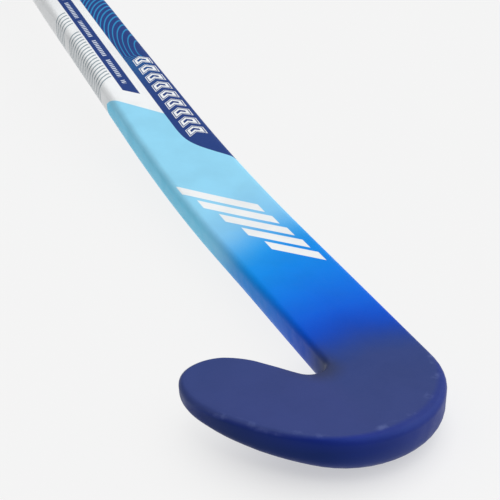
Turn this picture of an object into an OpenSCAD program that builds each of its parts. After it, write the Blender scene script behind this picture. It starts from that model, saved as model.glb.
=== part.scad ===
// Composite field hockey stick: a one-piece moulded skin over a foam head core
// and twin inner tubes, with a wrapped grip on a round handle.
// The origin is on the striking face, on the shaft's centre line, 50 mm above
// the lowest point of the head. The face looks along +Z, the shaft runs along
// +Y and the toe points along -X. The first stretch of the shaft is straight,
// then it bows up towards the face side.

/* [Shaft] */
// Length along the shaft from the lowest point of the head to the butt
stick_len = 927; // [900:1:965]
// Half of the shaft's width just above the head
shaft_half_w = 24; // [22.5:0.5:25]
// Thickness of the shaft just above the head
shaft_thick = 23.2; // [22:0.5:26]
// Half of the shaft's width where the round handle begins to form
waist_half_w = 20; // [18:0.2:21]
// Thickness of the shaft there
waist_thick = 27.2; // [25:0.5:29]
// Wall of the moulded skin
skin_wall = 1.6; // [1.2:0.1:2]

/* [Bow] */
// Where the bow begins, along the shaft from the lowest point of the head
bow_start = 192; // [160:1:250]
// Radius of the bow
bow_radius = 1010; // [800:10:1400]
// Angle through which the bow turns the shaft
bow_angle = 7.9; // [4:0.1:8.4]

/* [Head] */
// Radius of the heel's bend, at the middle of the blade
heel_r = 24; // [24:0.5:32]
// Angle of the heel's bend
heel_turn = 129; // [115:1:135]
// Radius of the toe's gentler bend, at the middle of the blade
toe_r = 119; // [100:1:140]
// Angle of the toe's bend
toe_turn = 34.5; // [28:1:36]
// Half of the blade's width round the heel
head_half_w = 23.6; // [22.5:0.1:24.5]
// Half of the blade's width near the toe
toe_half_w = 19.7; // [19:0.1:22]
// Length over which the toe rounds off
toe_cap = 23.7; // [20:0.1:30]
// Radius of the fillet inside the hook
hook_r = 7.6; // [7:0.1:12]
// Thickness of the head at the heel
head_thick = 22.1; // [18:0.1:23]
// Thickness of the head at the toe
toe_thick = 12.2; // [12.2:0.1:18]

/* [Handle] */
// Radius of the round handle
handle_r = 15; // [14:0.1:16]
// Length of the grip, up to the butt
grip_len = 296; // [250:1:310]
// Thickness of the wound grip
grip_thick = 1.6; // [1.2:0.1:2.2]
// Width of the tape that finishes the grip
tape_w = 22; // [15:1:30]

/* [Hidden] */
$fn = 72;

spot_up = 50;          // the origin's height above the head's lowest point
bond = 0.06;           // glue line between neighbouring layers
spar_t = 0.6;          // thickness of each spar ply
ply_t = 0.8;           // thickness of the head's reinforcing plies
web_t = 0.8;           // thickness of the centre web
tube_wall = 1;         // wall of the twin inner tubes
round_end = 610;       // where the shaft has become round
round_start = 460;     // where it begins to
taper_start = 200;     // where the width and thickness begin to change
waist_at = 500;        // where the waist sizes are reached
neck_start = 475;      // where the shaft begins to close in to the handle
core_end = 118;        // where the head core stops and the tubes begin
plug_len = 90;         // length of the butt plug
foam_len = 200;        // length of the foam in each tube, below the plug
spar_end = 450;        // where the spar plies stop
edge_top = 3.6;        // depth of the edge ply's upper edge below the face
core_gap = 0.45;       // room between the core and the plies round it
cap_t = 5;             // thickness of the end cap's button
stem_r = 6;            // radius of the end cap's stem
stem_len = 24;         // length of the end cap's stem
underlay_t = 0.5;      // thickness of the double-sided underlay
tape_t = 0.25;         // thickness of the finishing tape
blunt = 2.12;          // power of the toe's rounded outline
blade_taper = 79;      // length over which the blade thickens from the toe
back_power = 2 / 2.3;  // power of the rounded back
face_edge_r = 3;       // radius of the head's edge at the face
back_edge_r = 6;       // radius of the toe's end at the back
skin_end = stick_len - cap_t;
grip_start = stick_len - grip_len;
grip_r = handle_r + underlay_t + grip_thick;
pressed_r = grip_r - 0.8; // radius of the grip where the tape presses it in

// ---------- helpers ----------
function clamp(t) = max(0, min(1, t));
function smooth(t) = let (c = clamp(t)) c * c * (3 - 2 * c);
function mix(a, b, t) = a + (b - a) * t;
// Direction from a bend's centre: 0 is towards the heel side, and it turns
// round the head towards the toe.
function spoke(a) = [cos(a), -sin(a)];
function reach_circle(p, d, c, r) =
    let (q = p - c, b = q * d, k = b * b - q * q + r * r)
    -b + sqrt(max(k, 0));
// Drop of a rounded edge of radius r at the distance t inside it.
function edge_drop(t, r) = r - sqrt(r * r - pow(r - min(t, r), 2));

// ---------- outline of the head, seen from the face ----------
heel_c = [-heel_r, heel_r + head_half_w];
toe_c = heel_c - (toe_r - heel_r) * spoke(heel_turn);
hook_x = -head_half_w - hook_r;
hook_reach = toe_r - head_half_w - hook_r;
hook_c = [hook_x, toe_c.y - sqrt(pow(hook_reach, 2) - pow(hook_x - toe_c.x, 2))];
hook_turn = atan2(toe_c.y - hook_c.y, hook_c.x - toe_c.x);
toe_end = heel_turn + toe_turn;
toe_len = (toe_end - hook_turn) * toe_r * PI / 180;

// Distance from p along d to the head's outer edge.
function edge_reach(p, d, half_w) =
    let (side = d.x > 0.001 ? (head_half_w - p.x) / d.x : -1,
         on_side = side > 0 && p.y + side * d.y >= heel_c.y,
         heel = reach_circle(p, d, heel_c, heel_r + head_half_w),
         h = p + heel * d - heel_c,
         turn = atan2(-h.y, h.x))
    on_side ? side
    : turn >= 0 && turn <= heel_turn ? heel
    : reach_circle(p, d, toe_c, toe_r + half_w);

// ---------- sizes along the shaft ----------
function shaft_w(u) = mix(head_half_w, shaft_half_w, smooth((u - hook_c.y) / 90))
    - (shaft_half_w - waist_half_w) * smooth((u - taper_start) / (waist_at - taper_start))
    - (waist_half_w - handle_r) * smooth((u - neck_start) / (round_end - neck_start));
function shaft_t(u) = mix(head_thick, shaft_thick, 0.5 + 0.5 * smooth((u - hook_c.y) / 80))
    + (waist_thick - shaft_thick) * smooth((u - taper_start) / (waist_at - taper_start))
    + (2 * handle_r - waist_thick) * smooth((u - neck_start) / (round_end - neck_start));
function roundness(u) = smooth((u - round_start) / (round_end - round_start));

// Thickness of the blade at the distance s from the toe's end
function blade_t(s) = mix(toe_thick, head_thick, smooth(s / blade_taper));

// ---------- stations ----------
// A station is [middle, direction across, half width, thickness, end factor,
// drop at the face, rise at the back, wall share, edge radius, roundness].
function toe_station(s, inset) =
    let (a = toe_end - s / toe_r * 180 / PI,
         h = mix(toe_half_w, head_half_w, smooth(s / (0.8 * toe_len))),
         d = spoke(a),
         far = edge_reach(toe_c, d, h),
         near = toe_r - h,
         k = clamp((toe_cap - s) / (toe_cap - inset)),
         in = max(s - inset, 0))
    [toe_c + (far + near) / 2 * d, d, (far - near) / 2,
     blade_t(s),
     pow(1 - pow(k, blunt), 1 / blunt),
     edge_drop(in, face_edge_r - inset), edge_drop(in, back_edge_r - inset), 0.46, face_edge_r, 0];
function hook_station(a) =
    let (d = spoke(a), far = edge_reach(hook_c, d, head_half_w),
         from_toe = toe_len + (hook_turn - a) * (hook_r + head_half_w) * PI / 180,
         half = 0.5 * (1 - a / hook_turn))
    [hook_c + (far + hook_r) / 2 * d, d, (far - hook_r) / 2,
     blade_t(from_toe) + half * (shaft_thick - head_thick), 1, 0, 0, 0.46, face_edge_r, 0];
function shaft_station(u) =
    let (b = smooth((u - hook_c.y) / 100))
    [[0, u], [1, 0], shaft_w(u), shaft_t(u), 1, 0, 0,
     mix(0.46, 0.3, b), mix(face_edge_r, face_edge_r + 1, b), roundness(u)];

function toe_stations(inset, count) =
    [for (i = [0 : count]) toe_station(inset + (toe_len - inset) * pow(i / count, 1.6), inset)];
function hook_stations(count) = [for (i = [1 : count]) hook_station(hook_turn * (1 - i / count))];
function shaft_stations(us) = [for (u = us) shaft_station(u)];
function head_stations(inset) = concat(toe_stations(inset, 15), hook_stations(11));

// ---------- cross-section ----------
// Right half of the section in [across, up], from the middle of the face round
// to the middle of the back. The face is at 0, and inset shrinks every side.
top_shares = [0, 0.55, 1];
edge_steps = [30, 60, 90];
back_steps = [0, 13, 26, 39, 52, 65, 78, 90];
half_count = len(top_shares) + len(edge_steps) + len(back_steps);
back_first = 9;        // first point of a half section that the back spar covers
function half_section(st, inset) =
    let (w = max((st[2] - inset) * st[4], 0.6),
         t = st[3] - st[5] - st[6] - 2 * inset,
         top = -st[5] - inset,
         rf = min(max(st[8] - inset, 0.6), w * 0.6),
         zb = -min(max(st[7] * st[3] - inset, rf + 0.3), 0.7 * t),
         sharp = concat(
            [for (f = top_shares) [f * (w - rf), 0]],
            [for (a = edge_steps) [w - rf + rf * sin(a), rf * cos(a) - rf]],
            [for (a = back_steps) [0.99 * w * pow(cos(a), back_power),
                                   zb - (t + zb) * pow(sin(a), back_power)]]),
         n = half_count - 1)
    [for (i = [0 : n])
        let (c = [w * sin(180 * i / n), t / 2 * (cos(180 * i / n) - 1)])
        mix(sharp[i], c, st[9]) + [0, top]];
function full_section(st, inset) =
    let (h = half_section(st, inset))
    concat(h, [for (i = [half_count - 2 : -1 : 1]) [-h[i].x, h[i].y]]);

// ---------- bow: carries a straight stick's point to its place ----------
function bow_at(u) = clamp((u - bow_start) / (bow_radius * bow_angle * PI / 180)) * bow_angle;
function bow_place(p) =
    let (a = bow_at(p.y),
         past = max(p.y - bow_start - bow_radius * bow_angle * PI / 180, 0),
         y = min(p.y, bow_start) + bow_radius * sin(a) + past * cos(a),
         z = bow_radius * (1 - cos(a)) + past * sin(a))
    [p.x, y - p.z * sin(a) - spot_up, z + p.z * cos(a)];
function place(st, q) = bow_place([st[0].x + st[1].x * q.x, st[0].y + st[1].y * q.x, q.y]);
function ring(st, section) = [for (q = section) place(st, q)];
function skin_ring(st, inset) = ring(st, full_section(st, inset));

// Solid through rings of equal point counts, closed by its two end rings. An
// end that is a whole section is closed by a fan from the middle of its back,
// because the points in line along its face can't all be one polygon's corners.
module loft(rings, fan_ends = false) {
    n = len(rings[0]);
    top = (len(rings) - 1) * n;
    sides = [for (i = [0 : len(rings) - 2], j = [0 : n - 1])
        let (a = i * n + j, b = i * n + (j + 1) % n, c = a + n, d = b + n)
        each [[a, b, c], [b, d, c]]];
    mid = n / 2;
    fan = [for (j = [0 : n - 1]) let (k = (j + 1) % n) if (j != mid && k != mid) [mid, j, k]];
    ends = fan_ends
        ? [for (t = fan) each [[t[0], t[2], t[1]], [top + t[0], top + t[1], top + t[2]]]]
        : [[for (j = [n - 1 : -1 : 0]) j], [for (j = [0 : n - 1]) top + j]];
    polyhedron([for (r = rings) each r], concat(sides, ends), convexity = 8);
}
// Tube through rings that come back to the first one.
module loft_loop(rings) {
    n = len(rings[0]);
    m = len(rings);
    polyhedron([for (r = rings) each r],
        [for (i = [0 : m - 1], j = [0 : n - 1])
            let (i2 = (i + 1) % m, j2 = (j + 1) % n,
                 a = i * n + j, b = i * n + j2, c = i2 * n + j, d = i2 * n + j2)
            each [[a, b, c], [b, d, c]]], convexity = 8);
}
// Carries a piece drawn round Z, with Z = 0 at the distance u, onto the handle.
module on_handle(u) {
    translate(bow_place([0, u, -handle_r])) rotate([bow_angle - 90, 0, 0]) children();
}
function reversed(v) = [for (i = [len(v) - 1 : -1 : 0]) v[i]];

// ---------- the pieces ----------
shaft_steps = [for (u = [75, 90, 110, 140, 187, 212, 237, 262, 287, 312, 331, 360, 390, 420,
    450, 475, 490, 505, 520, 535, 550, 565, 580, 595, 610]) u];

module outer_skin() {
    tail = concat(shaft_steps, [skin_end]);
    outer = concat(head_stations(0), shaft_stations(tail));
    inner = concat(head_stations(skin_wall), shaft_stations(tail));
    color("royalblue") loft(concat(
        [for (st = inner) skin_ring(st, skin_wall)],
        reversed([for (st = outer) skin_ring(st, 0)])), fan_ends = true);
}

// Edge of the head's face drawn in by rim, as a flat outline.
function face_outline(rim, u_end) =
    let (sts = concat(toe_stations(rim, 14), hook_stations(10), [shaft_station(u_end)]),
         edge = function (st, side)
            let (p = st[0] + side * max((st[2] - rim) * st[4], 0.2) * st[1])
            [p.x, p.y - spot_up])
    concat([for (st = sts) edge(st, 1)], reversed([for (st = sts) edge(st, -1)]));

module face_ply() {
    color("dimgray") translate([0, 0, -skin_wall - bond - ply_t])
        linear_extrude(ply_t) polygon(face_outline(skin_wall + 3.4, core_end - 4));
}

// The edge ply lines the wall of the head's outer edge, from the toe's end to
// the heel side.
module edge_ply() {
    near = skin_wall + bond;
    toe = toe_stations(near, 15);
    rows = [for (st = concat([for (i = [7 : 15]) toe[i]], hook_stations(11)))
        let (far = 0.988 * (st[2] - near) * st[4], low = -0.42 * st[3])
        ring(st, [[far, -edge_top], [far, low], [far - ply_t, low], [far - ply_t, -edge_top]])];
    color("goldenrod") loft(reversed(rows));
}

module head_core() {
    inset = skin_wall + ply_t + core_gap;
    color("tan") loft(reversed([for (st = concat(head_stations(inset),
        shaft_stations([75, 95, core_end]))) skin_ring(st, inset)]), fan_ends = true);
}

spar_steps = [for (u = shaft_steps) if (u > core_end && u <= spar_end) u];
// The spar plies are thin strips that line the skin above the head, one behind
// the face and one behind the rounded back.
module face_spar_ply() {
    rows = [for (st = shaft_stations(spar_steps))
        let (edge = half_section(st, skin_wall + bond)[1], x = edge.x, y = edge.y)
        ring(st, [[-x, y - spar_t], [x, y - spar_t], [x, y], [-x, y]])];
    color("dimgray") loft(rows);
}

// Points of a section round its back, from one side to the other.
function back_band(h) =
    let (side = [for (i = [back_first : half_count - 1]) h[i]])
    concat([for (q = side) [-q.x, q.y]], [for (i = [len(side) - 2 : -1 : 0]) side[i]]);
module back_spar_ply() {
    rows = [for (st = shaft_stations(spar_steps))
        ring(st, concat(back_band(half_section(st, skin_wall + bond)),
            reversed(back_band(half_section(st, skin_wall + bond + spar_t)))))];
    color("dimgray") loft(rows);
}

tube_inset = skin_wall + spar_t + 2 * bond;
tube_steps = concat([core_end + 1], [for (u = shaft_steps) if (u > core_end + 5) u],
    [skin_end - plug_len - 1]);
// One side's share of the hollow, cut off flat at the centre web.
function tube_section(st, inset, gap) =
    let (h = half_section(st, inset)) [for (q = h) [max(q.x, gap), q.y]];
function flip_x(ps, side) = side > 0 ? ps : reversed([for (q = ps) [-q.x, q.y]]);

module tube(side) {
    outer = [for (st = shaft_stations(tube_steps))
        ring(st, flip_x(tube_section(st, tube_inset, web_t / 2 + bond), side))];
    inner = [for (st = shaft_stations(tube_steps))
        ring(st, flip_x(tube_section(st, tube_inset + tube_wall, web_t / 2 + bond + tube_wall), side))];
    color("slategray") loft_loop(concat(inner, reversed(outer)));
}
module toe_side_tube() tube(-1);
module heel_side_tube() tube(1);

module centre_web() {
    rows = [for (st = shaft_stations(tube_steps))
        let (h = half_section(st, tube_inset), top = h[0].y, low = h[half_count - 1].y, w = web_t / 2)
        ring(st, [[-w, top], [w, top], [w, low], [-w, low]])];
    color("dimgray") loft(reversed(rows));
}

foam_steps = let (top = skin_end - plug_len - 2) [top - foam_len, top];
module tube_foam(side) {
    inset = tube_inset + tube_wall + bond;
    rows = [for (st = shaft_stations(foam_steps))
        ring(st, flip_x(tube_section(st, inset, web_t / 2 + tube_wall + 2 * bond), side))];
    color("khaki") loft(reversed(rows));
}
module toe_side_foam() tube_foam(-1);
module heel_side_foam() tube_foam(1);

plug_r = (handle_r - skin_wall) * cos(180 / (2 * half_count - 2)) - bond;
module butt_plug() {
    color("burlywood") on_handle(skin_end - plug_len) difference() {
        cylinder(r = plug_r, h = plug_len - 0.2);
        translate([0, 0, plug_len - stem_len - 1]) cylinder(r = stem_r + bond, h = stem_len + 2);
    }
}

module end_cap() {
    rim = 2;
    flange_r = grip_r - 0.6;
    color("midnightblue") on_handle(skin_end) union() {
        rotate_extrude() polygon(concat([[0, 0], [flange_r, 0]],
            [for (a = [0 : 15 : 90]) [flange_r - rim + rim * cos(a), cap_t - rim + rim * sin(a)]],
            [[0, cap_t]]));
        translate([0, 0, -stem_len]) cylinder(r = stem_r, h = stem_len + 1);
    }
}

module grip_underlay() {
    color("ivory") on_handle(grip_start + 4) difference() {
        cylinder(r = handle_r + underlay_t, h = skin_end - grip_start - 4);
        translate([0, 0, -1]) cylinder(r = handle_r + 0.02, h = skin_end);
    }
}

// The grip is full size from the tape to the end cap, and the tape presses the
// rest of it in.
module grip() {
    lap = tape_w / 2;
    color("navy") on_handle(grip_start) difference() {
        union() {
            translate([0, 0, lap]) cylinder(r = grip_r, h = skin_end - grip_start - lap);
            cylinder(r = pressed_r, h = lap + 1);
        }
        translate([0, 0, -1]) cylinder(r = handle_r + underlay_t + 0.02, h = skin_end);
    }
}

// The tape covers the grip's edge and steps down onto the shaft.
module finishing_tape() {
    lap = tape_w / 2;
    step = 5;
    low = handle_r + 0.02;
    high = pressed_r + 0.02;
    color("black") on_handle(grip_start) rotate_extrude() polygon([
        [low, -lap], [low + tape_t, -lap], [low + tape_t, -step], [high + tape_t, -0.2],
        [high + tape_t, lap - 0.02], [high, lap - 0.02], [high, -0.1], [low, -step]]);
}

outer_skin();
face_ply();
edge_ply();
head_core();
face_spar_ply();
back_spar_ply();
centre_web();
toe_side_tube();
heel_side_tube();
toe_side_foam();
heel_side_foam();
butt_plug();
end_cap();
grip_underlay();
grip();
finishing_tape();
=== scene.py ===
# %% [markdown]
# # A composite field hockey stick
# A field hockey stick is one long moulding. A flat striking face runs from the
# hooked head up the shaft, the back is rounded, and above the waist the shaft
# turns into a round handle with a wound grip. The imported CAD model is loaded
# first, as a frame that never moves: every piece made here lies in its place.

# %% Load the frame
import math

import bmesh
import bpy
from mathutils import Matrix, Vector


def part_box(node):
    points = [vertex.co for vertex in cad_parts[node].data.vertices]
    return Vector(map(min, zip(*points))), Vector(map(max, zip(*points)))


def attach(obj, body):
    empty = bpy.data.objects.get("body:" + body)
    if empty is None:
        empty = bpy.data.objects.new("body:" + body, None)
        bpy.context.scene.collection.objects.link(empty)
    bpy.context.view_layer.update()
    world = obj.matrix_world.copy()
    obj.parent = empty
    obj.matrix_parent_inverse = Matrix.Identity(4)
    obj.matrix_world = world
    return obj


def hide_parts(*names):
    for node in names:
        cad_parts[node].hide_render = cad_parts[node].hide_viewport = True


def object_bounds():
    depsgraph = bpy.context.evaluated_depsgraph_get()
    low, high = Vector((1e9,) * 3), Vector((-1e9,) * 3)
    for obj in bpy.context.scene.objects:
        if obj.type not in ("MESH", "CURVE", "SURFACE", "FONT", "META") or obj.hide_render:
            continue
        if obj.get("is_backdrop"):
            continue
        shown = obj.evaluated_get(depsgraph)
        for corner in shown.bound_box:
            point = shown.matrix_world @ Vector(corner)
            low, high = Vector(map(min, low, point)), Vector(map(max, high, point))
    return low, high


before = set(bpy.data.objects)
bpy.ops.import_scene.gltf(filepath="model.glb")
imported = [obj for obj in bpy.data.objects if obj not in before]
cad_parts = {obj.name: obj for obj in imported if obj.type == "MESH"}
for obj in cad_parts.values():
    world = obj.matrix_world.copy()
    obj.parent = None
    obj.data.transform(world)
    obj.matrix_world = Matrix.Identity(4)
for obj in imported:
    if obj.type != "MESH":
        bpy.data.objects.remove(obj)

cad_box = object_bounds()
print("CAD nodes:", ", ".join(sorted(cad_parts)))
print("CAD box:", [tuple(round(v, 4) for v in corner) for corner in cad_box])

# %% [markdown]
# ## The stick's sizes
# Sizes are in millimetres, as a stick maker gives them, and MM turns them into
# Blender's metres. A place along the stick is its distance from the lowest
# point of the head, measured on a straight stick. The bow comes last.

# %% Sizes
MM = 0.001
stick_length = 927
waist_half_width, waist_thickness = 20, 27.2
shaft_half_width, shaft_thickness = 24, 23.2
skin_wall = 1.6
bow_start, bow_radius, bow_angle = 192, 1010, math.radians(7.9)
heel_radius, heel_turn = 24, math.radians(129)
toe_radius, toe_turn = 119, math.radians(34.5)
head_half_width, toe_half_width = 23.6, 19.7
toe_cap, toe_blunt, hook_radius = 23.7, 2.12, 7.6
head_thickness, toe_thickness, blade_taper = 22.1, 12.2, 79
handle_radius, grip_length, cap_height = 15, 296, 5
taper_start, waist_at, neck_start = 200, 500, 475
round_start, round_end = 460, 610
spot_height = 50
skin_end = stick_length - cap_height
grip_start = stick_length - grip_length
print("bare shaft:", grip_start, "mm, grip:", grip_length, "mm")

# %% [markdown]
# ## The outline of the head
# Seen from the face, the head's outer edge is a tight circle round the heel that
# runs into a wide circle towards the toe, and the inside of the hook is a small
# circle that touches the shaft's toe side and the wide circle. Everything else
# follows from these three circles.

# %% Helpers for shapes
def clamp(value):
    return max(0.0, min(1.0, value))


def smooth(value):
    part = clamp(value)
    return part * part * (3 - 2 * part)


def between(low, high, part):
    return low + (high - low) * part


def spoke(angle):
    """Direction from a bend's middle: 0 is the heel side, and it turns towards the toe."""
    return Vector((math.cos(angle), -math.sin(angle)))


def reach(point, direction, middle, radius):
    """Distance from a point, along a direction, to the far side of a circle."""
    offset = point - middle
    along = offset.dot(direction)
    return -along + math.sqrt(max(along ** 2 - offset.length_squared + radius ** 2, 0))


# %% The three circles of the head
heel_middle = Vector((-heel_radius, heel_radius + head_half_width))
toe_middle = heel_middle - (toe_radius - heel_radius) * spoke(heel_turn)
hook_x = -head_half_width - hook_radius
hook_reach = toe_radius - head_half_width - hook_radius
hook_drop = math.sqrt(hook_reach ** 2 - (hook_x - toe_middle.x) ** 2)
hook_middle = Vector((hook_x, toe_middle.y - hook_drop))
hook_turn = math.atan2(toe_middle.y - hook_middle.y, hook_middle.x - toe_middle.x)
toe_end = heel_turn + toe_turn
toe_length = (toe_end - hook_turn) * toe_radius
print("inside of the hook lies", round(hook_middle.y - hook_radius, 1), "mm up the stick")


def edge_distance(point, direction, half_width):
    """Distance from a point to the head's outer edge."""
    if direction.x > 0.001:
        side = (head_half_width - point.x) / direction.x
        if side > 0 and point.y + side * direction.y >= heel_middle.y:
            return side
    to_heel = reach(point, direction, heel_middle, heel_radius + head_half_width)
    there = point + to_heel * direction - heel_middle
    if 0 <= math.atan2(-there.y, there.x) <= heel_turn:
        return to_heel
    return reach(point, direction, toe_middle, toe_radius + half_width)


# %% [markdown]
# ## Sections along the stick
# The skin is lofted through sections, and each section knows where its middle
# is, which way it lies across, and how wide, thick and round it is there.
# Near the toe a section also shrinks along a rounded outline.

# %% Sections
def edge_drop(inside, radius):
    """Drop of a rounded edge at a distance inside it."""
    return radius - math.sqrt(max(radius ** 2 - (radius - min(inside, radius)) ** 2, 0))


def section(middle, across, half_width, thickness, end=1.0, tip=None, back_rise=0.0,
            wall_share=0.46, edge_radius=3.0, roundness=0.0):
    return dict(locals())


def blade_thickness(distance):
    """Thickness of the blade at a distance from the toe's end."""
    return between(toe_thickness, head_thickness, smooth(distance / blade_taper))


def toe_section(distance, inset):
    angle = toe_end - distance / toe_radius
    across = spoke(angle)
    half = between(toe_half_width, head_half_width, smooth(distance / (0.8 * toe_length)))
    far, near = edge_distance(toe_middle, across, half), toe_radius - half
    tuck = clamp((toe_cap - distance) / (toe_cap - inset))
    inside = max(distance - inset, 0)
    return section(
        toe_middle + (far + near) / 2 * across, across, (far - near) / 2,
        blade_thickness(distance), end=(1 - tuck ** toe_blunt) ** (1 / toe_blunt),
        tip=(inside, half, inset), back_rise=edge_drop(inside, 6 - inset))


def hook_section(angle):
    across = spoke(angle)
    far = edge_distance(hook_middle, across, head_half_width)
    from_toe = toe_length + (hook_turn - angle) * (hook_radius + head_half_width)
    thickness = blade_thickness(from_toe)
    thickness += 0.5 * (shaft_thickness - head_thickness) * (1 - angle / hook_turn)
    middle = hook_middle + (far + hook_radius) / 2 * across
    return section(middle, across, (far - hook_radius) / 2, thickness)


def shaft_section(along):
    up = along - hook_middle.y
    taper = smooth((along - taper_start) / (waist_at - taper_start))
    neck = smooth((along - neck_start) / (round_end - neck_start))
    half = between(head_half_width, shaft_half_width, smooth(up / 90))
    half -= (shaft_half_width - waist_half_width) * taper
    half -= (waist_half_width - handle_radius) * neck
    thickness = between(head_thickness, shaft_thickness, 0.5 + 0.5 * smooth(up / 80))
    thickness += (waist_thickness - shaft_thickness) * taper
    thickness += (2 * handle_radius - waist_thickness) * neck
    crown = smooth(up / 100)
    return section(
        Vector((0, along)), Vector((1, 0)), half, thickness,
        wall_share=between(0.46, 0.3, crown), edge_radius=between(3, 4, crown),
        roundness=smooth((along - round_start) / (round_end - round_start)))


# %% The outline of one section
face_shares = [step / 9 for step in range(10)]
edge_angles = [math.radians(15 * step) for step in range(1, 7)]
back_angles = [math.radians(6 * step) for step in range(16)]


def tip_drop(tip, x):
    """Drop of the face where it rounds off towards the toe's outline."""
    if not tip:
        return 0
    inside, half, inset = tip
    bulge = (1 - min(x / half, 1) ** toe_blunt) ** (1 / toe_blunt)
    return edge_drop(max(inside - toe_cap * (1 - bulge), 0), 3 - inset)


def half_outline(cut, inset):
    """Points [across, up] from the middle of the face round to the middle of the back."""
    width = max((cut["half_width"] - inset) * cut["end"], 0.6)
    depth = cut["thickness"] - cut["back_rise"] - 2 * inset
    edge = min(max(cut["edge_radius"] - inset, 0.6), width * 0.6)
    wall = -min(max(cut["wall_share"] * cut["thickness"] - inset, edge + 0.3), 0.7 * depth)
    flat = [(share * (width - edge), 0) for share in face_shares]
    turn = [(width - edge + edge * math.sin(a), edge * math.cos(a) - edge) for a in edge_angles]
    front = [(x, min(z, -tip_drop(cut["tip"], x))) for x, z in flat + turn]
    back = []
    for angle in back_angles:
        over = max(math.cos(angle), 0) ** (2 / 2.3)
        down = math.sin(angle) ** (2 / 2.3)
        back.append((0.99 * width * over, wall - (depth + wall) * down))
    points = front + back
    outline = []
    for number, (x, z) in enumerate(points):
        angle = math.pi * number / (len(points) - 1)
        round_x, round_z = width * math.sin(angle), depth / 2 * (math.cos(angle) - 1)
        outline.append((between(x, round_x, cut["roundness"]),
                        between(z, round_z, cut["roundness"]) - inset))
    return outline


sample = half_outline(shaft_section(250), 0)
print("section 250 mm up:", len(sample), "points,", round(2 * max(p[0] for p in sample), 1),
      "mm wide,", round(-sample[-1][1], 1), "mm thick")

# %% [markdown]
# ## The moulded skin
# The skin is one closed shell with an outer and an inner surface. Each ring of
# points is also unrolled, and its distances across and along the stick are kept
# in a UV map named print. The printed pattern follows that map round the edges,
# as ink on a sleeve would.

# %% Rings of the skin
def place(cut, x, z):
    spot = cut["middle"] + x * cut["across"]
    return Vector((spot.x, spot.y, z)) * MM


def ring(cut, inset):
    """One ring's points, its unrolled distances from the middle of the face, and the back's."""
    outline = half_outline(cut, inset)
    walked = [0.0]
    for (x0, z0), (x1, z1) in zip(outline, outline[1:]):
        walked.append(walked[-1] + math.hypot(x1 - x0, z1 - z0))
    right = [place(cut, x, z) for x, z in outline]
    left = [place(cut, -x, z) for x, z in outline[-2:0:-1]]
    return right + left, walked + [-far for far in walked[-2:0:-1]], walked[-1]


def toe_sections(inset, count=48):
    span = toe_length - inset
    return [toe_section(inset + span * (step / count) ** 1.7, inset) for step in range(count + 1)]


hook_sections = [hook_section(hook_turn * (1 - step / 28)) for step in range(1, 29)]
shaft_places = [hook_middle.y + 4 * step for step in range(1, 102)]
shaft_places += [shaft_places[-1] + 5 * step for step in range(1, 28)]
shaft_places += [round_end + (skin_end - round_end) * step / 20 for step in range(21)]
shaft_sections = [shaft_section(along) for along in shaft_places]
print("rings:", 49 + len(hook_sections) + len(shaft_sections))

# %% Loft the skin
inner = [ring(cut, skin_wall) for cut in toe_sections(skin_wall) + hook_sections + shaft_sections]
outer = [ring(cut, 0) for cut in toe_sections(0) + hook_sections + shaft_sections]
rings = inner + outer[::-1]
count = len(rings[0][0])
skin_points = [point for points, walked, back in rings for point in points]
skin_faces, skin_print = [], []
for row in range(len(rings) - 1):
    for col in range(count):
        following = (col + 1) % count
        corners = [(row, col), (row + 1, col), (row + 1, following), (row, following)]
        skin_faces.append([r * count + c for r, c in corners])
        for r, c in corners:
            points, walked, back = rings[r]
            on_seam = col >= count // 2 and c == count // 2
            far = -back if on_seam else walked[c]
            skin_print.append((far * MM, points[c].y))
for row, turn in ((0, 1), (len(rings) - 1, -1)):
    skin_faces.append([row * count + col for col in range(count)][::turn])
    points, walked, back = rings[row]
    ordered = list(zip(walked, points))[::turn]
    skin_print += [(far * MM, point.y) for far, point in ordered]
skin_mesh = bpy.data.meshes.new("skin")
skin_mesh.from_pydata(skin_points, [], skin_faces)
print_map = skin_mesh.uv_layers.new(name="print")
for corner, spot in zip(print_map.data, skin_print):
    corner.uv = spot
skin_mesh.validate()
print("skin:", len(skin_mesh.polygons), "faces")

# %% [markdown]
# ## Formulas as nodes
# Both the shapes and the finishes need formulas, and a formula drawn as maths
# nodes one at a time is slow to read. A Wire stands for a number that runs
# between nodes: adding or multiplying wires adds the node that does it.

# %% Wires
def feed(tree, slot, value):
    if isinstance(value, Wire):
        tree.links.new(value.socket, slot)
    else:
        slot.default_value = value


def maths(tree, operation, *values, limit=False):
    node = tree.nodes.new("ShaderNodeMath")
    node.operation = operation
    node.use_clamp = limit
    for slot, value in zip(node.inputs, values):
        feed(tree, slot, value)
    return Wire(tree, node.outputs[0])


class Wire:
    """A number that runs from one node to the next."""

    def __init__(self, tree, socket):
        self.tree = tree
        self.socket = socket

    def run(self, operation, *others, limit=False):
        return maths(self.tree, operation, self, *others, limit=limit)

    def __add__(self, other):
        return self.run("ADD", other)

    def __sub__(self, other):
        return self.run("SUBTRACT", other)

    def __rsub__(self, other):
        return maths(self.tree, "SUBTRACT", other, self)

    def __mul__(self, other):
        return self.run("MULTIPLY", other)

    def __truediv__(self, other):
        return self.run("DIVIDE", other)

    __radd__ = __add__
    __rmul__ = __mul__

    def past(self, edge, soft=0.3):
        """Turns from 0 to 1 as the number passes an edge."""
        return (self - edge).run("MULTIPLY_ADD", 1 / soft, 0.5, limit=True)

    def inside(self, low, high, soft=0.3):
        return self.past(low, soft) * (high - self).past(0.0, soft)


def split(tree, socket):
    node = tree.nodes.new("ShaderNodeSeparateXYZ")
    tree.links.new(socket, node.inputs[0])
    return [Wire(tree, out) for out in node.outputs]


def join(tree, x, y, z):
    node = tree.nodes.new("ShaderNodeCombineXYZ")
    for slot, value in zip(node.inputs, (x, y, z)):
        feed(tree, slot, value)
    return Wire(tree, node.outputs[0])


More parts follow.
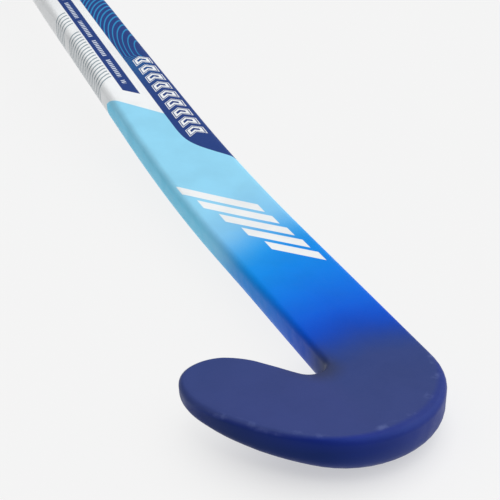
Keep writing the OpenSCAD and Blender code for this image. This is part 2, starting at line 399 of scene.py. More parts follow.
# %% Start and use a geometry tree
def shape_tree(name, inputs):
    """A new geometry tree, with a named input for each size and the finish."""
    tree = bpy.data.node_groups.new(name, "GeometryNodeTree")
    kinds = [("Geometry", "NodeSocketGeometry")] + inputs + [("Finish", "NodeSocketMaterial")]
    for label, kind in kinds:
        tree.interface.new_socket(label, in_out="INPUT", socket_type=kind)
    tree.interface.new_socket("Geometry", in_out="OUTPUT", socket_type="NodeSocketGeometry")
    given = tree.nodes.new("NodeGroupInput")
    sizes = {label: Wire(tree, given.outputs[label]) for label, kind in kinds}
    return tree, sizes


def add(tree, kind, settings=None, **wires):
    """A node with its settings, fed by wires named like its inputs."""
    node = tree.nodes.new(kind)
    for key, value in (settings or {}).items():
        setattr(node, key, value)
    for label, value in wires.items():
        feed(tree, node.inputs[label.replace("_", " ")], value)
    return Wire(tree, node.outputs[0])


def finish_tree(tree, shape, finish):
    real = add(tree, "GeometryNodeRealizeInstances", Geometry=shape)
    coated = add(tree, "GeometryNodeSetMaterial", Geometry=real, Material=finish)
    tree.links.new(coated.socket, tree.nodes.new("NodeGroupOutput").inputs[0])


def make_piece(name, mesh, steps, wall=0.0):
    """Runs a mesh through trees in turn, each with its sizes, and keeps the plain mesh."""
    piece = bpy.data.objects.new(name, mesh or bpy.data.meshes.new(name))
    bpy.context.scene.collection.objects.link(piece)
    for tree, sizes in steps:
        if tree.name == "Bow the stick" and wall:
            solid = piece.modifiers.new("wall", "SOLIDIFY")
            solid.thickness, solid.offset, solid.use_even_offset = wall, -1, True
        step = piece.modifiers.new(tree.name, "NODES")
        step.node_group = tree
        for item in tree.interface.items_tree:
            if item.in_out == "INPUT" and item.name in sizes:
                step[item.identifier] = sizes[item.name]
    graph = bpy.context.evaluated_depsgraph_get()
    made = bpy.data.meshes.new_from_object(
        piece.evaluated_get(graph), preserve_all_data_layers=True, depsgraph=graph)
    piece.modifiers.clear()
    piece.data = made
    made.name = name
    made.set_sharp_from_angle(angle=math.radians(50))
    print(name, "has", sum(len(face.vertices) - 2 for face in made.polygons), "triangles")
    return piece


# %% [markdown]
# ## The bow
# A maker bends the whole stick towards its face over one long arc. As a rule it
# is simple: points before the bow stay, points within it turn about its centre,
# and points past it carry straight on. Geometry Nodes run the rule on the skin
# and on every piece of the handle, so all of them bend alike.

# %% Bow the stick
LENGTH = "NodeSocketFloat"
bow_tree, size = shape_tree(
    "Bow the stick", [("Start", LENGTH), ("Radius", LENGTH), ("Angle", LENGTH), ("Spot", LENGTH)])
x, y, z = split(bow_tree, add(bow_tree, "GeometryNodeInputPosition").socket)
arc = size["Radius"] * size["Angle"]
turned = (y - size["Start"]).run("DIVIDE", arc, limit=True) * size["Angle"]
beyond = (y - size["Start"] - arc).run("MAXIMUM", 0.0)
sine, cosine = turned.run("SINE"), turned.run("COSINE")
bowed_y = y.run("MINIMUM", size["Start"]) + size["Radius"] * sine + beyond * cosine - z * sine
bowed_z = size["Radius"] * (1.0 - cosine) + beyond * sine + z * cosine
bowed = add(bow_tree, "GeometryNodeSetPosition", Geometry=size["Geometry"],
            Position=join(bow_tree, x, bowed_y - size["Spot"], bowed_z))
finish_tree(bow_tree, bowed, size["Finish"])
bow_sizes = {"Start": bow_start * MM, "Radius": bow_radius * MM, "Angle": bow_angle,
             "Spot": spot_height * MM}

# %% [markdown]
# ## Finishes
# Every finish is a small tree round one Principled shader. A finish takes its
# pattern from the piece's own coordinates, so it stays where it was put from
# whichever side it is seen. Colours are given as a paint card gives them, from
# 0 to 255.

# %% Helpers for finishes
def paint(red, green, blue):
    def part(value):
        value /= 255
        return value / 12.92 if value <= 0.04045 else ((value + 0.055) / 1.055) ** 2.4
    return part(red), part(green), part(blue), 1.0


def new_finish(name, **settings):
    """A material with its tree and shader, and even settings put on the shader itself."""
    finish = bpy.data.materials.new(name)
    finish.use_nodes = True
    tree = finish.node_tree
    shader = tree.nodes["Principled BSDF"]
    for label, value in settings.items():
        shader.inputs[label.replace("_", " ")].default_value = value
    return finish, tree, shader


def cover(tree, under, over, share):
    """Lays one colour over another where share is 1."""
    node = tree.nodes.new("ShaderNodeMix")
    node.data_type = "RGBA"
    for slot, value in ((0, share), (6, under), (7, over)):
        feed(tree, node.inputs[slot], value)
    return Wire(tree, node.outputs[2])


def grain(tree, scale, detail=2.0, stretch=(1, 1, 1)):
    """Noise on the piece's own coordinates, with about scale grains to the metre."""
    where = tree.nodes.new("ShaderNodeTexCoord").outputs["Object"]
    sized = tree.nodes.new("ShaderNodeMapping")
    sized.inputs["Scale"].default_value = stretch
    tree.links.new(where, sized.inputs["Vector"])
    node = tree.nodes.new("ShaderNodeTexNoise")
    node.inputs["Scale"].default_value = scale
    node.inputs["Detail"].default_value = detail
    tree.links.new(sized.outputs[0], node.inputs["Vector"])
    return Wire(tree, node.outputs[0])


def relief(tree, shader, height, depth, strength=1.0):
    """Bump from a height of 0 to 1, at its real depth in metres."""
    node = tree.nodes.new("ShaderNodeBump")
    node.inputs["Distance"].default_value = depth
    node.inputs["Strength"].default_value = strength
    feed(tree, node.inputs["Height"], height)
    tree.links.new(node.outputs[0], shader.inputs["Normal"])


def soft_range(tree, value, low, high, start, end):
    node = tree.nodes.new("ShaderNodeMapRange")
    node.interpolation_type = "SMOOTHSTEP"
    for slot, number in zip(node.inputs, (value, low, high, start, end)):
        feed(tree, slot, number)
    return Wire(tree, node.outputs[0])


# %% [markdown]
# ## The printed lacquer
# The stick is sprayed from navy at the head through a strong blue to a pale sky
# blue, and above that the pattern is printed on white. The spray is a colour
# ramp along the stick, loosened by grain so that it shows fine droplets. Where
# two paints meet they drift from side to side, and the lighter one reaches lower
# on the wall inside the hook. On the back the drift fades out, so that the
# colours meet there without a step.

# %% The sprayed colours
lacquer, ink, coat = new_finish(
    "printed_lacquer", Specular_IOR_Level=0.13, IOR=1.5, Specular_Tint=(0.3, 0.62, 1.0, 1.0))
uv = ink.nodes.new("ShaderNodeUVMap")
uv.uv_map = "print"
across, along = [part * 1000 for part in split(ink, uv.outputs[0])[:2]]
wall_side = across.run("ABSOLUTE")
front = 1.0 - wall_side.past(30.0, 10.0)
drift = soft_range(ink, along, 80.0, 165.0, 0.24, -0.16)
lean = (across.run("MAXIMUM", -24.0)).run("MINIMUM", 24.0) * drift
droplets = (grain(ink, 1400, 1.0) - 0.5) * 7 + (grain(ink, 90, 3.0) - 0.5) * 5
sideways = split(ink, ink.nodes.new("ShaderNodeTexCoord").outputs["Object"])[0] * 1000
on_toe = 1.0 - sideways.past(-30.0, 12.0)
inner = (0.0 - across).run("MAXIMUM", 0.0)
lift = inner.run("MINIMUM", 24.0) * 0.42 + (inner - 23).run("MAXIMUM", 0.0).run("MINIMUM", 10.0) * 0.5
spray_height = 360
height = (along + (lean + lift * (1.0 - on_toe)) * front + droplets - on_toe * 40) / spray_height
spray = ink.nodes.new("ShaderNodeValToRGB")
spray.color_ramp.interpolation = "B_SPLINE"
feed(ink, spray.inputs[0], height)
# The navy at the head is greyed: the paint with a painted sheen mixed into its colour.
spray_stops = {
    0: (58, 69, 129), 58: (54, 68, 122), 72: (36, 66, 146), 86: (0, 68, 188), 104: (0, 92, 222),
    136: (0, 128, 234), 166: (0, 144, 236), 182: (60, 168, 240), 202: (138, 204, 245),
    240: (152, 219, 247), 360: (150, 219, 248)}
for number, (place_up, colour) in enumerate(spray_stops.items()):
    if number < 2:
        stop = spray.color_ramp.elements[number]
        stop.position = place_up / spray_height
    else:
        stop = spray.color_ramp.elements.new(place_up / spray_height)
    stop.color = paint(*colour)
# The shaft's side walls above the strong blue are laid over with a deeper, more saturated sky blue than
# the face: painted shade on the walls.
second_pass = wall_side.past(23.5, 4.0) * along.past(190.0, 50.0) * 0.6
sprayed = cover(ink, Wire(ink, spray.outputs[0]), paint(96, 216, 255), second_pass)
print("spray colours:", len(spray_stops))

# %% [markdown]
# ## The printed pattern
# Each mark is a mask: a formula that is 1 inside the mark and 0 outside, with a
# soft step a fraction of a millimetre wide so that its edge stays clean. The
# white ends on a slant, a wide navy band with a rounded corner lies along the
# heel side, and a narrow strip beside it carries small ticks.

# %% White, band and strip
white, navy = paint(244, 246, 247), paint(36, 62, 128)
band_side = 2.6
slant = (band_side - across).run("MINIMUM", 30.0).run("MAXIMUM", -40.0) * 1.12 + 330
white_zone = along.past(slant)
band_foot = (21.7 - across).run("MAXIMUM", -3.0) * 1.34 + 269.5
band_edge = (across - band_side).run("SMOOTH_MIN", (along - band_foot) / 1.67, 12.0)
band = band_edge.run("MINIMUM", 44 - across).past(0.0)
strip_foot = 363.75 - (across + 10.8) * 0.926
strip = across.inside(-11.1, -2.7) * along.past(strip_foot)
tick = ((along / 2.2).run("FRACT").inside(0.2, 0.75, 0.15)
        * (along / 27).run("FRACT").inside(0.06, 0.9, 0.02)
        * across.inside(-8.4, -5.8) * along.inside(371.0, 600.0))
print("the band starts", band_side, "mm off the middle")

# %% [markdown]
# Thin grey lines come out from under the strip and sweep down round the toe
# side, in a group of five and a group of eighteen. Following one line means
# taking its drop back out of the distance along the stick.

# %% Grey lines round the toe side
sweep = soft_range(ink, -12.0 - across, 0.0, 10.0, 0.0, 5.4)
level = along + sweep


def lines(start, gap, number, thick):
    phase = ((level - start) / gap + 0.5).run("FRACT") - 0.5
    stroke = (thick / 2 / gap - phase.run("ABSOLUTE")).past(0.0, 0.08)
    return stroke * level.inside(start - gap / 2, start + gap * (number - 0.5))


side_lines = (lines(382.0, 3.56, 18, 1.25) + lines(454.5, 3.9, 5, 1.25)) * across.inside(-60.0, -12.0)
print("line groups: 18 and 5")

# %% [markdown]
# The band carries contour lines. Their rule is a distance from a spot near the
# heel edge, stretched along the stick and squeezed below the spot, so that the
# lines close over it like a hill on a map and crowd together down one flank.

# %% Contour lines on the band
side_way = (20.0 - across).run("MAXIMUM", 0.0) / 0.36
rise = along - 402
below = (0.0 - rise).run("MAXIMUM", 0.0)
ripple = side_way * (below * 0.05 + 1)
radius = (ripple * ripple + rise.run("MAXIMUM", 0.0).run("POWER", 2.0)).run("SQRT") - 18
step = radius / 9 + (radius / 32).run("POWER", 2.0)
crowding = radius * 0.002 + 0.111
contour = (crowding * 0.75 - ((step + 0.5).run("FRACT") - 0.5).run("ABSOLUTE")).past(0.0, 0.08)
contour = contour * radius.past(-4.0) * soft_range(ink, along, 350.0, 400.0, 0.0, 1.0)
faded = soft_range(ink, below, 0.0, 40.0, 0.85, 0.35)
contours = contour * faded * band * across.inside(band_side, 30.0)
print("contour lines start 18 mm from their spot")

# %% [markdown]
# Two plain motifs finish the print: a row of outlined chevrons on the band, and
# a block of slanted bars on the sky blue. They are shapes anyone could draw, and
# mean nothing.

# %% Chevrons and bars
off_middle = (across - 12.6).run("ABSOLUTE")
chevron_way = along - 304 + off_middle * 0.7
chevron_phase = (chevron_way / 11).run("FRACT") * 11
chevron = (chevron_phase.run("MINIMUM", 7.6 - chevron_phase)).run("MINIMUM", 5.6 - off_middle)
chevron_zone = chevron_way.inside(-0.5, 98.5)
chevrons = (chevron.inside(0.0, 0.5, 0.2) + chevron.inside(1.15, 2.7, 0.2)) * chevron_zone
bar_way = along + across * 1.12
bar_number = ((bar_way - 165) / 13.4).run("FLOOR")
bar_phase = ((bar_way - 165) / 13.4).run("FRACT")
bar_middle = 8 - bar_number * 3.2
bar_half = 10 + bar_number * 1.6
bars = (bar_phase.inside(0.0, 0.7, 0.03) * bar_way.inside(165.0, 232.0)
        * (bar_half - (across - bar_middle).run("ABSOLUTE")).past(0.0))
print("bars: 5, chevrons: 9")

# %% [markdown]
# The head's outer wall is painted darker and a deeper blue than its face,
# darkest lower down and towards the toe and lighter towards the heel end:
# painted shade. Rubs lighten the edge round the face, and the crook of the hook
# is painted darker: painted shade in the corner.

# %% Paint shade on the head's wall
on_head = 1.0 - along.past(62.0, 40.0)
heel_end = sideways.past(-32.0, 44.0)
toe_wall = 1.0 - sideways.past(-62.0, 50.0)
head_wall = across.past(head_half_width, 2.4) * on_head * (1.0 - wall_side.past(38.0, 8.0))
lower_wall = across.past(28.0, 8.0) * on_head * (1.0 - wall_side.past(40.0, 8.0))
# Painted shade on the head's wall: deepest towards the toe and lower down, lighter towards the heel end.
colour = cover(ink, sprayed, paint(12, 34, 142), head_wall * (0.85 - heel_end * 0.5))
colour = cover(ink, colour, paint(26, 40, 84), head_wall * toe_wall * 0.8)
colour = cover(ink, colour, paint(18, 36, 88), lower_wall * (0.7 - heel_end * 0.55))
print("the head's wall starts", head_half_width, "mm off the middle")

# %% Lay the inks over each other
print_layers = (
    (white, white_zone), (white, bars), (paint(150, 164, 171), side_lines), (navy, strip),
    (paint(214, 222, 236), tick), (navy, band), (paint(44, 150, 205), contours),
    (white, chevrons * band))
for over, share in print_layers:
    colour = cover(ink, colour, over, share)
print("inks:", len(print_layers))

# %% Painted shade in the crook, wear and gloss
# The walls in the crook of the hook are painted darker: painted shade in the corner.
crook = ((sideways + 28).run("POWER", 2.0) + (along - 60).run("POWER", 2.0)).run("SQRT")
dirt = (1.0 - crook.past(8.0, 26.0)) * 0.9 * wall_side.past(20.0, 8.0)
rub = soft_range(ink, grain(ink, 130, 5.0), 0.52, 0.75, 0.0, 0.3)
rub = rub * wall_side.inside(20.6, 24.0, 1.5) * (1.0 - along.past(60.0, 60.0))
mottle = soft_range(ink, grain(ink, 45, 5.0), 0.35, 0.7, 0.0, 0.07)
for over, share in ((paint(58, 60, 74), dirt), (paint(120, 134, 190), rub), (paint(20, 30, 60), mottle)):
    colour = cover(ink, colour, over, share)
ink.links.new(colour.socket, coat.inputs["Base Color"])
gloss = soft_range(ink, grain(ink, 160, 4.0), 0.3, 0.7, 0.38, 0.5)
ink.links.new(gloss.socket, coat.inputs["Roughness"])
relief(ink, coat, grain(ink, 1100, 3.0), 0.00006, 0.5)
print("gloss runs from roughness", 0.38, "to", 0.5)

# %% Make the skin
skin = make_piece("printed_skin", skin_mesh, [(bow_tree, {**bow_sizes, "Finish": lacquer})])
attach(skin, "root")
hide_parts("outer_skin")

# %% [markdown]
# ## The wound grip
# A grip is a long soft strip with bevelled edges, wound up the handle so that
# each turn laps the one before. The surface is a sheet whose rows follow the
# strip: going once round the handle climbs one turn. Geometry Nodes shape a grid
# by that rule, and the same rule tells where the small air holes go. A hole is
# shown by a thin dark disc that lies on the wrap: painted shade in place of the
# hole's depth.

# %% The rule of the strip
turn_height, strip_low, strip_high = 24, 16.45, 17.04
WHOLE = "NodeSocketInt"
strip_inputs = [("Length", LENGTH), ("Turn", LENGTH), ("Low", LENGTH), ("High", LENGTH),
                ("Base", LENGTH), ("Around", WHOLE), ("Rows", WHOLE)]


def strip_radius(up, phase, size):
    """Radius of the wound strip: a quick rise at its edge, and a slow fall to the next."""
    edge = (phase / 0.1).run("MINIMUM", 1.0)
    lip = edge * edge * (3.0 - edge * 2.0)
    fall = 1.0 - phase * phase * 0.5
    pressed = (1.0 - (up - 0.010) / 0.006).run("MINIMUM", 1.0).run("MAXIMUM", 0.0)
    return size["Low"] + (size["High"] - size["Low"]) * lip * fall - pressed * 0.0008


def strip_grid(tree, size):
    """A grid over the wound strip, and wires for its angle and height."""
    rows = size["Rows"]
    grid = add(tree, "GeometryNodeMeshGrid", Size_X=1.0, Size_Y=1.0,
               Vertices_X=size["Around"], Vertices_Y=rows)
    x, y, z = split(tree, add(tree, "GeometryNodeInputPosition").socket)
    angle = (x + 0.5) * math.tau
    wound = (y + 0.5) * (size["Length"] + size["Turn"]) - size["Turn"]
    return grid, angle, wound


def on_handle(tree, angle, up, radius, size):
    """The place on a straight handle at an angle round it, a height up it and a radius."""
    return join(tree, radius * angle.run("SINE"), up + size["Base"],
                radius * angle.run("COSINE") - handle_radius * MM)


# %% Wind the strip
wind_tree, size = shape_tree("Wind the grip", strip_inputs)
grid, angle, wound = strip_grid(wind_tree, size)
climb = angle / math.tau * size["Turn"]
up = (wound + climb).run("MAXIMUM", 0.0).run("MINIMUM", size["Length"])
phase = ((up - climb) / size["Turn"]).run("FRACT")
spot = on_handle(wind_tree, angle, up, strip_radius(up, phase, size), size)
wrapped = add(wind_tree, "GeometryNodeSetPosition", Geometry=grid, Position=spot)
closed = add(wind_tree, "GeometryNodeMergeByDistance", Geometry=wrapped, Distance=0.00002)
finish_tree(wind_tree, closed, size["Finish"])

# %% Lay dark discs for the air holes
hole_tree, size = shape_tree("Punch the grip", strip_inputs + [("Hole", LENGTH)])
grid, angle, wound = strip_grid(hole_tree, size)
row = (wound / size["Turn"] * 3).run("ROUND")
angle = angle + (row.run("MODULO", 2.0)).run("ABSOLUTE") * (math.pi / 17)
climb = angle / math.tau * size["Turn"]
wound = (row + 0.5) / 3 * size["Turn"]
up = wound + climb
radius = strip_radius(up, (wound / size["Turn"]).run("FRACT"), size) + 0.00003
spots = add(hole_tree, "GeometryNodeSetPosition", Geometry=grid,
            Position=on_handle(hole_tree, angle, up, radius, size))
x, y, z = split(hole_tree, add(hole_tree, "GeometryNodeInputPosition").socket)
low_end = y.run("LESS_THAN", size["Base"] + 0.02)
high_end = y.run("GREATER_THAN", size["Base"] + size["Length"] - 0.003)
kept = add(hole_tree, "GeometryNodeDeleteGeometry", {"domain": "POINT"},
           Geometry=spots, Selection=low_end + high_end)
outward = join(hole_tree, x, 0.0, z + handle_radius * MM)
disc = add(hole_tree, "GeometryNodeMeshCylinder", Vertices=8, Radius=size["Hole"],
           Depth=0.0001)
facing = add(hole_tree, "FunctionNodeAlignRotationToVector", {"axis": "Z"}, Vector=outward)
holes = add(hole_tree, "GeometryNodeInstanceOnPoints", Points=kept, Instance=disc,
            Rotation=facing)
finish_tree(hole_tree, holes, size["Finish"])
print("trees made:", wind_tree.name, "and", hole_tree.name)

# %% [markdown]
# The grip is a soft, slightly tacky plastic with a fine leathery skin. A cell
# pattern a millimetre across gives the leather, with painted shade in the
# creases between the cells, and grain dulls it here and there as hands do. The
# holes are plain dark: painted shade.

# %% The grip's finishes
wrap_finish, tree, shader = new_finish("grip_wrap", Specular_IOR_Level=0.35, Sheen_Weight=0.15)
cells = tree.nodes.new("ShaderNodeTexVoronoi")
cells.feature = "DISTANCE_TO_EDGE"
cells.inputs["Scale"].default_value = 1100
tree.links.new(tree.nodes.new("ShaderNodeTexCoord").outputs["Object"], cells.inputs["Vector"])
leather = Wire(tree, cells.outputs["Distance"]).past(0.12, 0.2)
worn = soft_range(tree, grain(tree, 60, 4.0), 0.35, 0.7, 0.0, 0.35)
wrap_colour = cover(tree, paint(24, 36, 84), paint(44, 58, 112), worn)
# Darker lines in the creases between the leather cells: painted shade.
wrap_colour = cover(tree, paint(16, 24, 62), wrap_colour, leather)
tree.links.new(wrap_colour.socket, shader.inputs["Base Color"])
rough = soft_range(tree, grain(tree, 60, 4.0), 0.3, 0.7, 0.52, 0.7)
tree.links.new(rough.socket, shader.inputs["Roughness"])
relief(tree, shader, leather, 0.00012, 0.6)

# The holes' finish is painted shade: a plain dark disc where the hole's depth would be.
hole_finish, tree, shader = new_finish("grip_holes", Roughness=0.9, Specular_IOR_Level=0.1)
shade = cover(tree, paint(8, 10, 24), paint(16, 20, 44), grain(tree, 800))
tree.links.new(shade.socket, shader.inputs["Base Color"])

# %% Make the grip and its holes
grip_top = grip_length - cap_height - 0.2
turns = math.ceil(grip_top / turn_height)
strip_sizes = {"Length": grip_top * MM, "Turn": turn_height * MM, "Low": strip_low * MM,
               "High": strip_high * MM, "Base": grip_start * MM}
wind_sizes = {**strip_sizes, "Around": 97, "Rows": (turns + 1) * 20 + 1, "Finish": wrap_finish}
grip = make_piece("wound_grip", None, [
    (wind_tree, wind_sizes), (bow_tree, {**bow_sizes, "Finish": wrap_finish})], wall=0.0007)
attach(grip, "root")
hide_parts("grip")
punched = make_piece("grip_air_holes", None, [
    (hole_tree, {**strip_sizes, "Around": 18, "Rows": (turns + 1) * 3 + 1, "Hole": 0.0007,
                 "Finish": hole_finish}),
    (bow_tree, {**bow_sizes, "Finish": hole_finish})])
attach(punched, "root")
print("grip:", turns, "turns of", turn_height, "mm")

# %% [markdown]
# ## Turned pieces of the handle
# The finishing tape and the end cap are both round, so each is a profile spun
# about the handle. The tape is stretched over the grip's edge, which leaves
# shallow creases where it steps down to the shaft. Where a profile touches the
# handle's middle, its points are welded so that the end is closed.

# %% Spin a profile
def spin(name, profile, base, steps=96, crease=None):
    """A closed ring of [radius, height] points spun about the handle's axis."""
    points, faces = [], []
    for turn in range(steps):
        angle = math.tau * turn / steps
        for radius, up in profile:
            far = radius + (crease(angle, up) if crease and radius > handle_radius + 0.1 else 0)
            points.append(Vector((far * math.sin(angle), base + up,
                                  far * math.cos(angle) - handle_radius)) * MM)
    count = len(profile)
    for turn in range(steps):
        here, there = turn * count, (turn + 1) % steps * count
        for part in range(count):
            following = (part + 1) % count
            if profile[part][0] or profile[following][0]:
                faces.append([here + part, there + part, there + following, here + following])
    mesh = bpy.data.meshes.new(name)
    mesh.from_pydata(points, [], faces)
    welded = bmesh.new()
    welded.from_mesh(mesh)
    bmesh.ops.remove_doubles(welded, verts=welded.verts, dist=1e-7)
    welded.to_mesh(mesh)
    welded.free()
    return mesh


def tape_crease(angle, up):
    """Small creases where the tape steps down, and the lap where its end lies."""
    fold = 0.06 * math.sin(11 * angle) * math.sin(5 * angle + 1) * math.exp(-((up + 2.5) / 2.5) ** 2)
    return fold - 0.06 + 0.06 * smooth(1 - (angle + up * 0.02) / 4.2)


tape_half, pressed = 11, 16.32
tape_outside = [(handle_radius + 0.27, -tape_half + 0.1)]
for part in range(25):
    up = -tape_half + 0.6 + part * (2 * tape_half - 0.8) / 24
    lift = smooth((up + 5) / 4.8)
    tape_outside.append((between(handle_radius + 0.27, pressed + 0.22, lift), up))
tape_inside = [(max(radius - 0.24, handle_radius + 0.02), up) for radius, up in tape_outside[::-1]]
tape_mesh = spin("tape", tape_inside + tape_outside, grip_start, crease=tape_crease)

# %% The tape's finish
tape_finish, tree, shader = new_finish("vinyl_tape", Specular_IOR_Level=0.5)
stretch = grain(tree, 130, 3.0, stretch=(1, 5, 1))
shade = cover(tree, paint(17, 18, 20), paint(34, 35, 39), stretch)
tree.links.new(shade.socket, shader.inputs["Base Color"])
gloss = soft_range(tree, stretch, 0.3, 0.7, 0.24, 0.4)
tree.links.new(gloss.socket, shader.inputs["Roughness"])
relief(tree, shader, stretch, 0.0001, 0.35)
tape = make_piece("finishing_tape_band", tape_mesh, [(bow_tree, {**bow_sizes, "Finish": tape_finish})])
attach(tape, "root")
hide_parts("finishing_tape")

# %% [markdown]
# ## The end cap
# The cap is moulded rubber with a stem that plugs into the handle. Its top has a
# raised rim and boss with a shallow channel between them, and short ribs cross
# the channel like spokes. One rib is made and Geometry Nodes set it round.

# %% The cap's body
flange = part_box("end_cap")[1].x * 1000 - 0.02
cap_profile = [(0.0, -23.9), (5.4, -23.9), (5.9, -23.4), (5.9, 0.05), (flange - 0.6, 0.05),
               (flange, 0.6), (flange, 3.2)]
cap_profile += [(flange - 1.7 + 1.7 * math.cos(a), 3.2 + 1.7 * math.sin(a))
                for a in (math.radians(15 * part) for part in range(1, 7))]
cap_profile += [(12.9, 4.9), (12.5, 4.75), (12.3, 4.3), (11.8, 4.1), (6.6, 4.1), (6.2, 4.3),
                (6.0, 4.75), (5.6, 4.95), (2.2, 4.95), (1.6, 4.7), (0.0, 4.55)]
cap_mesh = spin("cap", cap_profile, skin_end, steps=72)

# %% Set ribs round the cap
rib_tree, size = shape_tree(
    "Set ribs round", [("Ribs", WHOLE), ("Radius", LENGTH), ("Long", LENGTH), ("Base", LENGTH)])
circle = add(rib_tree, "GeometryNodeMeshCircle", Vertices=size["Ribs"], Radius=size["Radius"])
x, y, z = split(rib_tree, add(rib_tree, "GeometryNodeInputPosition").socket)
standing = add(rib_tree, "GeometryNodeSetPosition", Geometry=circle,
               Position=join(rib_tree, x, size["Base"], y - handle_radius * MM))
block = add(rib_tree, "GeometryNodeMeshCube", Size=join(rib_tree, size["Long"], 0.0007, 0.0011))
x, y, z = split(rib_tree, add(rib_tree, "GeometryNodeInputPosition").socket)
along_rib = add(rib_tree, "FunctionNodeAlignRotationToVector", {"axis": "X"},
                Vector=join(rib_tree, x, 0.0, z + handle_radius * MM))
ribs = add(rib_tree, "GeometryNodeInstanceOnPoints", Points=standing, Instance=block,
           Rotation=along_rib)
finish_tree(rib_tree, ribs, size["Finish"])

# %% The cap's finish and its two pieces
cap_finish, tree, shader = new_finish("cap_rubber", Specular_IOR_Level=0.4)
shade = cover(tree, paint(22, 30, 66), paint(34, 44, 84), grain(tree, 300, 3.0))
tree.links.new(shade.socket, shader.inputs["Base Color"])
rough = soft_range(tree, grain(tree, 90, 3.0), 0.3, 0.7, 0.5, 0.68)
tree.links.new(rough.socket, shader.inputs["Roughness"])
relief(tree, shader, grain(tree, 2200, 1.0), 0.00005, 0.5)
cap = make_piece("butt_cap", cap_mesh, [(bow_tree, {**bow_sizes, "Finish": cap_finish})])
cap_ribs = make_piece("butt_cap_ribs", None, [
    (rib_tree, {"Ribs": 16, "Radius": 0.00925, "Long": 0.0056, "Base": (skin_end + 4.25) * MM,
                "Finish": cap_finish}),
    (bow_tree, {**bow_sizes, "Finish": cap_finish})])
for piece in (cap, cap_ribs):
    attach(piece, "root")
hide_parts("end_cap")

# %% [markdown]
# ## What lies under the skin
# The CAD solids inside keep their shapes and get real finishes, because someone
# may take the stick apart. The plies are woven, so their finish crosses two
# sets of threads. The cores are foam, the plug is wood, and the underlay is a
# cloth tape.

# %% Woven plies
def woven(name, dark, light, threads, **settings):
    """Cloth with threads to the metre: two waves at right angles that take turns on top."""
    finish, tree, shader = new_finish(name, **settings)
    where = tree.nodes.new("ShaderNodeTexCoord").outputs["Object"]
    x, y, z = split(tree, where)
    warp = ((x + z) * threads).run("FRACT")
    weft = (y * threads).run("FRACT")
    row = ((x + z) * threads).run("FLOOR") + (y * threads).run("FLOOR")
    on_top = (row / 4).run("FRACT").past(0.45, 0.01)
    bulge_warp = (warp - 0.5).run("ABSOLUTE").run("MULTIPLY_ADD", -2.0, 1.0)
    bulge_weft = (weft - 0.5).run("ABSOLUTE").run("MULTIPLY_ADD", -2.0, 1.0)
    bulge = bulge_warp * on_top + bulge_weft * (1.0 - on_top)
    # Thread crowns, and threads that lie on top, are lighter and the edges between threads darker:
    # painted highlight and painted shade on the weave.
    shade = cover(tree, dark, light, bulge * (on_top * 0.5 + 0.4) + (grain(tree, 400) - 0.5) * 0.2)
    tree.links.new(shade.socket, shader.inputs["Base Color"])
    relief(tree, shader, bulge, 0.0002, 0.6)
    return finish


carbon = woven("carbon_ply", paint(12, 13, 15), paint(62, 64, 68), 480, Roughness=0.3,
               Coat_Weight=0.6, Coat_Roughness=0.12)
aramid = woven("aramid_ply", paint(150, 112, 30), paint(222, 184, 74), 560, Roughness=0.5)
cloth = woven("underlay_tape", paint(190, 186, 170), paint(236, 233, 220), 1500, Roughness=0.8)
print("woven finishes:", carbon.name, aramid.name, cloth.name)


# %% Foam and wood
def foamed(name, dark, light, cells_per_metre):
    finish, tree, shader = new_finish(name, Roughness=0.85, Specular_IOR_Level=0.2)
    bubbles = tree.nodes.new("ShaderNodeTexVoronoi")
    bubbles.inputs["Scale"].default_value = cells_per_metre
    tree.links.new(tree.nodes.new("ShaderNodeTexCoord").outputs["Object"],
                   bubbles.inputs["Vector"])
    depth = Wire(tree, bubbles.outputs["Distance"])
    # Each cell is darker towards its hollow middle: painted shade in the pores.
    shade = cover(tree, dark, light, depth + (grain(tree, 70) - 0.5) * 0.4)
    tree.links.new(shade.socket, shader.inputs["Base Color"])
    relief(tree, shader, depth, 0.0003, 0.8)
    return finish


core_foam = foamed("core_foam", paint(172, 148, 108), paint(226, 206, 168), 900)
damping_foam = foamed("damping_foam", paint(150, 140, 96), paint(214, 206, 156), 600)
wood, tree, shader = new_finish("plug_wood", Roughness=0.6)
fibres = grain(tree, 500, 4.0, stretch=(1, 0.04, 1))
shade = cover(tree, paint(150, 104, 62), paint(214, 172, 122), fibres)
tree.links.new(shade.socket, shader.inputs["Base Color"])
relief(tree, shader, fibres, 0.0001, 0.5)

inner_finishes = {
    "face_ply": carbon, "edge_ply": aramid, "head_core": core_foam, "face_spar_ply": carbon,
    "back_spar_ply": carbon, "centre_web": carbon, "toe_side_tube": carbon,
    "heel_side_tube": carbon, "toe_side_foam": damping_foam, "heel_side_foam": damping_foam,
    "butt_plug": wood, "grip_underlay": cloth}
for node, finish in inner_finishes.items():
    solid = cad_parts[node]
    solid.data.materials.clear()
    solid.data.materials.append(finish)
print("inner nodes finished:", len(inner_finishes))

# %% [markdown]
# ## Floor, light and camera
# The stick lies on a pale floor under plain studio light: one very wide lamp from
# above, and an even glow from all round. The floor glows by itself and takes a
# shadow only under the head, so that the rest stays clean. The camera looks
# down the stick from the toe's side of the head.

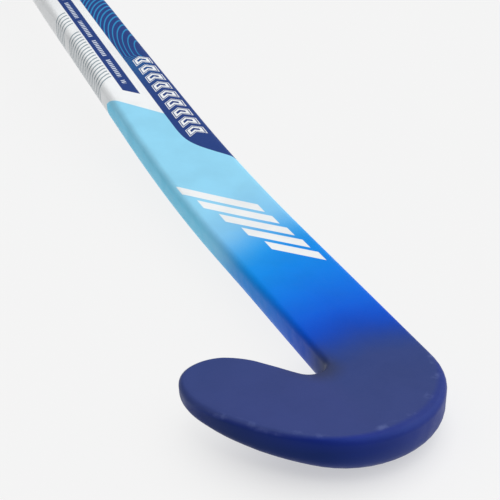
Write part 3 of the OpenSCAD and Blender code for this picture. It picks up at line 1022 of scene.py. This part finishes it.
# %% Floor
floor_mesh = bpy.data.meshes.new("floor")
reach_out = 8.0
floor_light, floor_glow = 0.97, 0.905
shade_x, shade_y = -0.02, -0.08
ground = cad_box[0].z
floor_mesh.from_pydata([(-reach_out, -reach_out, ground), (reach_out, -reach_out, ground),
                        (reach_out, reach_out, ground), (-reach_out, reach_out, ground)],
                       [], [(0, 1, 2, 3)])
floor = bpy.data.objects.new("floor", floor_mesh)
bpy.context.scene.collection.objects.link(floor)
floor_finish, tree, shader = new_finish(
    "glowing_floor", Roughness=0.9, Specular_IOR_Level=0.0, Emission_Strength=1.0)
x, y, z = split(tree, tree.nodes.new("ShaderNodeTexCoord").outputs["Object"])
from_head = ((x - shade_x).run("POWER", 2.0) + (y - shade_y).run("POWER", 2.0)).run("SQRT")
matt = soft_range(tree, from_head, 0.06, 0.14, 0.42, 0.05)
feed(tree, shader.inputs["Base Color"], join(tree, matt, matt, matt))
glow = floor_glow - matt * floor_light
feed(tree, shader.inputs["Emission Color"], join(tree, glow, glow, glow))
floor_mesh.materials.append(floor_finish)
floor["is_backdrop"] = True


# %% Light
def lamp(name, strength, spread, direction):
    """A far, even lamp that shines along a direction. The wider its spread, the softer."""
    light = bpy.data.lights.new(name, "SUN")
    light.energy, light.angle = strength, math.radians(spread)
    holder = bpy.data.objects.new(name, light)
    holder.rotation_euler = Vector(direction).to_track_quat("-Z", "Y").to_euler()
    bpy.context.scene.collection.objects.link(holder)


lamp("main_light", 2.5, 90, (-0.55, 0.1, -1))
world_glow = 0.3
world = bpy.data.worlds.new("studio")
world.use_nodes = True
background = world.node_tree.nodes["Background"]
background.inputs["Color"].default_value = (1, 1, 1, 1)
background.inputs["Strength"].default_value = world_glow
bpy.context.scene.world = world
bpy.context.scene.view_settings.view_transform = "Standard"
print("lamps: 1, world glow:", world_glow)

# %% Camera
aim, camera_distance, focal_length = Vector((-0.0125, 0.1213, 0.0)), 0.7905, 111.27
azimuth, elevation, roll = math.radians(-23.5), math.radians(29.25), math.radians(-1.18)
back_off = Vector((math.sin(azimuth) * math.cos(elevation),
                   -math.cos(azimuth) * math.cos(elevation), math.sin(elevation)))
lens = bpy.data.cameras.new("camera")
lens.lens, lens.sensor_width = focal_length, 36
camera = bpy.data.objects.new("camera", lens)
camera.rotation_mode = "QUATERNION"
camera.location = aim + camera_distance * back_off
looking = (-back_off).to_track_quat("-Z", "Y")
camera.rotation_quaternion = looking @ Matrix.Rotation(roll, 3, "Z").to_quaternion()
bpy.context.scene.collection.objects.link(camera)
bpy.context.scene.camera = camera
print("camera", round((camera.location - aim).length, 3), "m from the head")

# %% Compare the boxes and finish
made_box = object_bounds()
print("CAD box: ", [tuple(round(v, 4) for v in corner) for corner in cad_box])
print("made box:", [tuple(round(v, 4) for v in corner) for corner in made_box])
